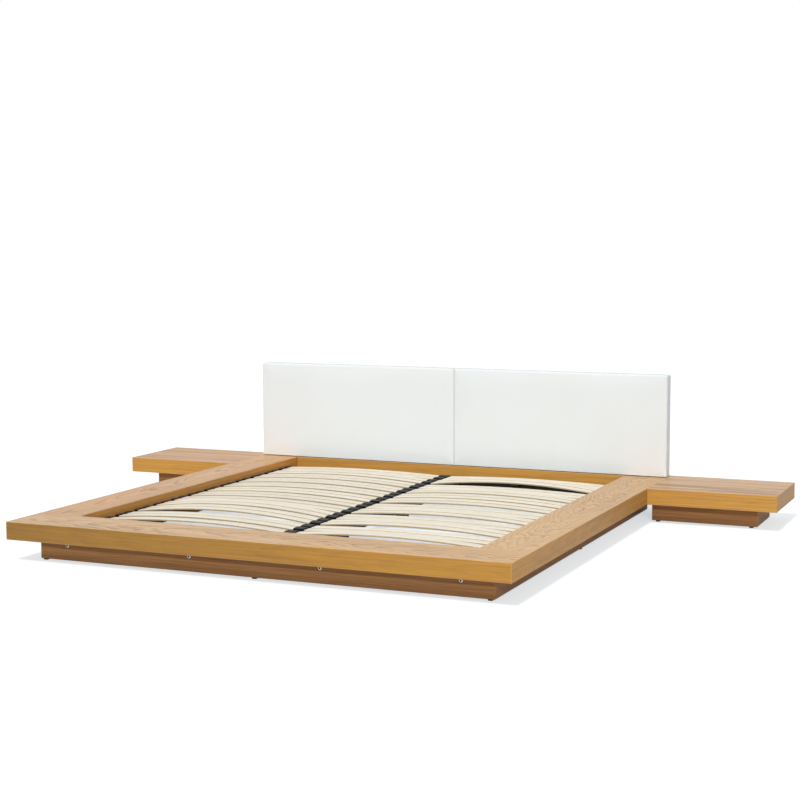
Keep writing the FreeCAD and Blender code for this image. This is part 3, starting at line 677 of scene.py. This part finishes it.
def capBridge(xMiddle, yMiddle):     # a soft block between the twin sleeves, rings along y
    high = (capShape["bridgeTop"] - capShape["bottom"]) / 2
    loop = softRectangle(capShape["bridgeHalf"], high, capShape["bridgeRound"])
    steps = np.array(capShape["bridgeSteps"])
    dip = 1 - capShape["saddle"] * np.cos(steps / steps[-1] * math.pi / 2)     # lowest in the middle
    y = yMiddle + np.repeat(steps[:, None], len(loop), 1)
    return closeEnds(np.stack([xMiddle + loop[None, :, 0] * dip[:, None], y,
                               capShape["bottom"] + high + loop[None, :, 1] * dip[:, None]], -1))


def capPeg(xMiddle, yMiddle, bottom):     # a round peg with a tapered tip
    angle = np.linspace(0, 2 * math.pi, capShape["pegAround"], endpoint=False)
    radius = capShape["pegRadius"] * np.array([capShape["pegTip"], 1.0, 1.0])[:, None]
    levels = [bottom, bottom + capShape["pegTaper"], capShape["bottom"] + capShape["pegSunk"]]
    z = np.array(levels)[:, None] + 0 * angle
    return closeEnds(np.stack([xMiddle + radius * np.cos(angle), yMiddle + radius * np.sin(angle), z], -1))


for name, node, side in (("leftSlatCaps", "left_slat_caps", -1), ("centreSlatCaps", "centre_slat_caps", 0),
                         ("rightSlatCaps", "right_slat_caps", 1)):
    low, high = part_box(node)
    xMiddle = (low.x + high.x) / 2
    shells = []
    for row, rowNode in enumerate(rowNodes, 1):
        middle = rowMiddle(rowNode)
        for offset in (-1, 1):
            y = middle + offset * slatShape["twin"]
            if side == 0:
                shells.append(centreSleeve(y, slatBow(row, -1, offset), slatBow(row, 1, offset)))
            else:
                shells.append(sideSleeve(y, side, slatBow(row, side, offset)))
        shells += [capBridge(xMiddle, middle), capPeg(xMiddle, middle, low.z)]
    makePiece(name, shells, capPlastic, [node])
print("slat caps moulded")


# turned fasteners: rows of depth along an axis, radius, and form (0 round, 1 six-sided, -1 a cross)

boltShape = {
    "rows": [(0.0040, 0.0038, 1.0), (0.0004, 0.0039, 1.0), (0.0, 0.0044, 0.4), (0.0002, 0.0056, 0.0),
             (0.0008, 0.0068, 0.0), (0.0018, 0.0080, 0.0), (0.0030, 0.0085, 0.0), (0.0042, 0.0085, 0.0),
             (0.0045, 0.0082, 0.0), (0.0045, 0.0040, 0.0), (0.0340, 0.0040, 0.0), (0.0360, 0.0032, 0.0)],
    "x": (-0.876, -0.292, 0.292, 0.876), "z": 0.068, "darkRings": 3,
}
screwShape = {
    "rows": [(0.0018, 0.0006, 0.0), (0.0016, 0.0020, -1.0), (0.0003, 0.0026, -1.0), (0.0002, 0.0030, 0.0),
             (0.0006, 0.0038, 0.0), (0.0014, 0.0044, 0.0), (0.0026, 0.0046, 0.0), (0.0026, 0.0020, 0.0),
             (0.0080, 0.0018, 0.0)],
    "x": (-0.840, -0.255, 0.255, 0.840), "spread": 0.016, "upright": (0.222, 0.302), "foot": 1.1478,
    "head": 0.0026, "plate": 0.004, "around": 16, "crossWaist": 0.36,
}


def turnedShell(centre, inward, rows, around=24):
    angle = np.linspace(0, 2 * math.pi, around, endpoint=False)
    six = math.cos(math.pi / 6) / np.cos((angle + math.pi / 6) % (math.pi / 3) - math.pi / 6)
    waist = screwShape["crossWaist"]
    cross = waist + (1 - waist) * np.abs(np.cos(2 * angle)) ** 2
    depth, radius, form = (np.array(column)[:, None] for column in zip(*rows))
    reach = radius * np.where(form > 0, 1 + form * (six - 1), 1 - form * (cross - 1))
    inward = np.array(inward, float)
    first = np.cross(inward, [1, 0, 0])
    second = np.cross(inward, first)
    rings = np.array(centre) + depth[..., None] * inward
    rings = rings + (reach * np.cos(angle))[..., None] * first + (reach * np.sin(angle))[..., None] * second
    return closeEnds(rings)


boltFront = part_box("front_plinth_bolts")[0].y
bolts = [turnedShell((x, boltFront, boltShape["z"]), (0, 1, 0), boltShape["rows"]) for x in boltShape["x"]]
# painted shade: the closing ring and the two rings of the socket are dark
inSocket = np.repeat(np.arange(bolts[0].shape[0]) < boltShape["darkRings"], bolts[0].shape[1])
makePiece("plinthBolts", bolts, boltSteel, ["front_plinth_bolts"],
          {"socketShade": np.tile(inSocket, len(bolts))})

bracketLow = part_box("headboard_brackets")[0]
proud = screwShape["plate"] + screwShape["head"]
screws = []
for x in screwShape["x"]:
    for spread in (-screwShape["spread"], screwShape["spread"]):
        seats = [((x + spread, bracketLow.y + proud, z), (0, -1, 0)) for z in screwShape["upright"]]
        seats.append(((x + spread, screwShape["foot"], bracketLow.z + proud), (0, 0, -1)))
        screws += [turnedShell(centre, inward, screwShape["rows"], screwShape["around"]) for centre, inward in seats]
makePiece("bracketScrews", screws, zincSteel)
print("bolts and screws turned")


# headboard panels: coated leather over foam, swollen by a cloth simulation

panelShape = {
    "edge": 0.009, "lowEdge": 0.0014, "edgeReach": 0.03, "sag": 0.0022, "lean": 0.0011,
    "wrap": 0.0138, "board": 0.0154, "recessStep": 0.0004,
    "near": (0, 0.0012, 0.0025, 0.004, 0.006, 0.009), "even": 0.016, "deepLines": 4, "backLine": 0.002,
    "crown": 0.0035, "crownShare": 0.5, "crownPower": 0.6,
    "pressure": 3.0, "steps": 20, "cap": 0.0022, "held": 0.016, "spread": (0.3, 1.0, 0.3),
}
panelLook = {
    "pale": tint(238, 243, 244), "warm": tint(234, 238, 238), "fold": tint(210, 214, 214),
    "pebbleRate": 620.0, "softRate": (3, 3, 3), "fineRate": (900, 900, 900), "creaseRange": (0.0, 0.16),
    "soft": (0.3, 0.75, 0.5), "creaseShare": 0.18, "rough": 0.42, "creaseRough": 0.12, "softRough": 0.08,
    "bump": 0.0002, "fineDepth": 0.3, "specular": 0.45,
}


def coatedLeather():
    look = panelLook
    finish, wire, place = newFinish("coatedLeather")
    pebble = wire.node("TexVoronoi", {"feature": "DISTANCE_TO_EDGE"}, {"Vector": place, "Scale": look["pebbleRate"]},
                       out="Distance")
    crease = 1 - ease(pebble, *look["creaseRange"])
    soft = cloud(place, look["softRate"], 2, 0.5)
    fine = cloud(place, look["fineRate"], 2, 0.5, 2.0)
    colour = blendColour(partly(soft, *look["soft"]), look["pale"], look["warm"])
    # painted shade: the creases of the pebble grain are greyer
    colour = blendColour(crease * look["creaseShare"], colour, look["fold"])
    rough = look["rough"] + crease * look["creaseRough"] + (soft - 0.5) * look["softRough"]
    closeFinish(wire, colour, rough, fine * look["fineDepth"] - crease, look["bump"],
                {"Specular IOR Level": look["specular"]})
    return finish


def readPoints(mesh):
    points = np.empty(len(mesh.vertices) * 3, np.float32)
    mesh.vertices.foreach_get("co", points)
    return points.reshape(-1, 3).astype(float)


def writePoints(mesh, points):
    mesh.vertices.foreach_set("co", np.asarray(points, np.float32).ravel())
    mesh.update()


def evaluated(piece):
    bpy.context.view_layer.update()
    return bpy.data.meshes.new_from_object(piece.evaluated_get(bpy.context.evaluated_depsgraph_get()))


def panelLines(length, extra):
    # places of grid lines from 0 to length: close together at both ends, then even, plus the lines of the recess
    near = np.array(panelShape["near"])
    middle = np.linspace(near[-1], length - near[-1], max(2, round(length / panelShape["even"])))
    lines = np.concatenate([near, middle, length - near, extra])
    return np.unique(np.round(lines, 6))


def depthLines(length):     # from the front, close together at the edge, to the back of the wrap
    deep = np.linspace(panelShape["even"], length - panelShape["board"], panelShape["deepLines"])
    return np.unique(np.concatenate([panelShape["near"], deep, [length - panelShape["backLine"], length]]))


def boxGrid(axes):
    # the six sides of a box as grids over its lines; each side holds one axis at its low or high end
    points, faces, start = [], [], 0
    for fixed in range(3):
        first, second = (fixed + 1) % 3, (fixed + 2) % 3
        for end in (0, -1):
            a, b = np.meshgrid(axes[first], axes[second], indexing="ij")
            side = np.empty(a.shape + (3,))
            side[..., first], side[..., second], side[..., fixed] = a, b, axes[fixed][end]
            rows, cols = a.shape
            row, col = np.meshgrid(np.arange(rows - 1), np.arange(cols - 1), indexing="ij")
            corner = start + row * cols + col
            points.append(side.reshape(-1, 3))
            faces.append(np.stack([corner, corner + cols, corner + cols + 1, corner + 1], -1).reshape(-1, 4))
            start += rows * cols
    return np.concatenate(points), np.concatenate(faces)


def panelCover(low, high):     # points and faces of a cover before it swells
    size = high - low
    edge, lowEdge, wrap, board = (panelShape[key] for key in ("edge", "lowEdge", "wrap", "board"))
    step = np.array([0.0, panelShape["recessStep"]])
    axes = [panelLines(size[0], np.concatenate([wrap + step, size[0] - wrap - step])), depthLines(size[1]),
            panelLines(size[2], size[2] - wrap - step)]
    points, faces = boxGrid(axes)
    # edges rounded: each point is drawn to the box set in by the radius, then pushed out by the radius
    # the radius is smaller along the foot and the seam
    seam = points[:, 0] if low[0] + high[0] > 0 else size[0] - points[:, 0]
    clear = np.clip(np.minimum(points[:, 2], seam) / panelShape["edgeReach"], 0, 1)
    radius = (lowEdge + (edge - lowEdge) * clear)[:, None]
    inner = np.clip(points, radius, size - radius * [1, 0, 1])
    out = points - inner
    far = np.linalg.norm(out, axis=1, keepdims=True)
    soft = np.where(far > noLength, inner + out / np.maximum(far, noLength) * radius, points)
    # the front is crowned: the product of two half waves, across and up
    across, up = (np.sin(np.pi * points[:, axis] / size[axis]) ** panelShape["crownPower"] for axis in (0, 2))
    crown = panelShape["crown"] * panelShape["crownShare"] * across * up
    soft[:, 1] -= np.where(points[:, 1] < edge, crown, 0)
    # the back is hollow for the board, which comes in from below
    rim = wrap + panelShape["recessStep"] / 2
    hollow = (points[:, 0] > rim) & (points[:, 0] < size[0] - rim) & (points[:, 2] < size[2] - rim)
    soft[:, 1] = np.where(hollow, np.minimum(soft[:, 1], size[1] - board), soft[:, 1])
    return low + soft, faces


def swell(piece, low, high):
    # pressure inside the cover, which is held along its back; the swelling eases off towards its cap
    scene = bpy.context.scene
    start = readPoints(piece.data)
    heldFrom = high[1] - panelShape["board"] - panelShape["held"]
    piece.vertex_groups.new(name="held").add(np.flatnonzero(start[:, 1] > heldFrom).tolist(), 1.0, "REPLACE")
    cloth = piece.modifiers.new("cover", "CLOTH")
    cloth.settings.use_pressure = True
    cloth.settings.uniform_pressure_force = panelShape["pressure"]
    cloth.settings.effector_weights.gravity = 0.0
    cloth.settings.vertex_group_mass = "held"
    cloth.point_cache.frame_start, cloth.point_cache.frame_end = 1, panelShape["steps"]
    for frameNumber in range(1, panelShape["steps"] + 1):
        scene.frame_set(frameNumber)
    move = readPoints(evaluated(piece)) - start
    reach = np.linalg.norm(move, axis=1, keepdims=True)
    move *= panelShape["cap"] * np.tanh(reach / panelShape["cap"]) / np.maximum(reach, noLength)
    move *= panelShape["spread"]
    piece.modifiers.clear()
    piece.vertex_groups.clear()
    scene.frame_set(1)
    writePoints(piece.data, np.clip(start + move, low - [0.0, panelShape["crown"], 0.0], high))
    print(piece.name, "swelled by", round(float(np.abs(reach).max()) * 1000, 1), "mm before its cap")


def headboardPanel(name, node):
    low, high = (np.array(corner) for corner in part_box(node))
    low[1] += panelShape["crown"]
    low[2] -= panelShape["sag"]
    # both panels lean a little into the seam
    if low[0] > 0:
        low[0] -= panelShape["lean"]
    else:
        high[0] += panelShape["lean"]
    points, faces = panelCover(low, high)
    mesh = bpy.data.meshes.new(name)
    mesh.from_pydata(points.tolist(), [], faces.tolist())
    weld(mesh, coverGap, shellGap)
    piece = linkPiece(name, mesh)
    swell(piece, low, high)
    subdivide = piece.modifiers.new("smooth", "SUBSURF")
    subdivide.levels = subdivide.render_levels = 1
    piece.data = evaluated(piece)
    piece.modifiers.clear()
    smoothFaces(piece.data)
    piece.data.materials.clear()
    piece.data.materials.append(leatherFinish)
    dress(piece, [node])


leatherFinish = coatedLeather()
headboardPanel("headboardLeft", "headboard_left_pad")
headboardPanel("headboardRight", "headboard_right_pad")
print("headboard panels padded")


# floor, light and camera

studio = {
    "floorTint": tint(196, 198, 201), "floorLift": (0.58, 0.61, 0.63, 1), "floorHalf": 30.0, "skyFill": 0.40,
    "keyPower": 1.60, "keySpread": 0.10, "keyFrom": (0.0, -0.58, 0.81),
    "fillPower": 0.94, "fillSpread": 0.05, "fillFrom": (0.40, -0.85, 0.34),
}
view = {
    "place": (3.020, -6.5226, 1.334), "yaw": 23.624, "pitch": 5.765, "roll": -0.181,
    "focalPixels": 1605.5, "photoPixels": 800, "sensor": 36.0, "clipEnd": 200.0,
}


def seenDirectly(wire):     # 1 for what the camera sees straight, in a reflection or through something clear
    rays = [wire.node("LightPath", out=kind) for kind in ("Is Camera Ray", "Is Glossy Ray", "Is Transmission Ray")]
    return most(most(rays[0], rays[1]), rays[2])


floorMesh = bpy.data.meshes.new("studioFloor")
half = studio["floorHalf"]
floorMesh.from_pydata([(-half, -half, 0), (half, -half, 0), (half, half, 0), (-half, half, 0)], [], [(0, 1, 2, 3)])
floor = linkPiece("studioFloor", floorMesh)
floorFinish, wire = emptyFinish("studioFloor")
matt = wire.node("BsdfDiffuse", None, {"Color": studio["floorTint"]})
lift = wire.node("Emission", None, {"Color": studio["floorLift"], "Strength": seenDirectly(wire)})
wire.node("OutputMaterial", None, {"Surface": wire.node("AddShader", None, {0: matt, 1: lift})})
floorMesh.materials.append(floorFinish)

world = bpy.data.worlds.new("studioWorld")
bpy.context.scene.world = world
world.use_nodes = True
world.node_tree.nodes.clear()
wire = Wire(world.node_tree)
seen = seenDirectly(wire)
sky = wire.node("Background", None, {"Color": (1, 1, 1, 1), "Strength": seen + (1 - seen) * studio["skyFill"]})
wire.node("OutputWorld", None, {"Surface": sky})

for lampName in ("key", "fill"):
    lamp = bpy.data.lights.new(lampName + "Light", "SUN")
    lamp.energy, lamp.angle = studio[lampName + "Power"], studio[lampName + "Spread"]
    x, y, z = studio[lampName + "From"]
    linkPiece(lampName + "Light", lamp).rotation_euler = (math.atan2(math.hypot(x, y), z), 0, math.atan2(x, -y))

lens = bpy.data.cameras.new("photoCamera")
lens.sensor_width, lens.sensor_fit, lens.clip_end = view["sensor"], "HORIZONTAL", view["clipEnd"]
lens.lens = view["focalPixels"] / view["photoPixels"] * view["sensor"]
camera = linkPiece("photoCamera", lens)
yaw, pitch, roll = (math.radians(view[key]) for key in ("yaw", "pitch", "roll"))
camera.matrix_world = (Matrix.Translation(view["place"]) @ Matrix.Rotation(yaw, 4, "Z")
                       @ Matrix.Rotation(math.pi / 2 - pitch, 4, "X") @ Matrix.Rotation(roll, 4, "Z"))
bpy.context.scene.camera = camera
bpy.context.scene.view_settings.view_transform = "Standard"
print("studio ready")
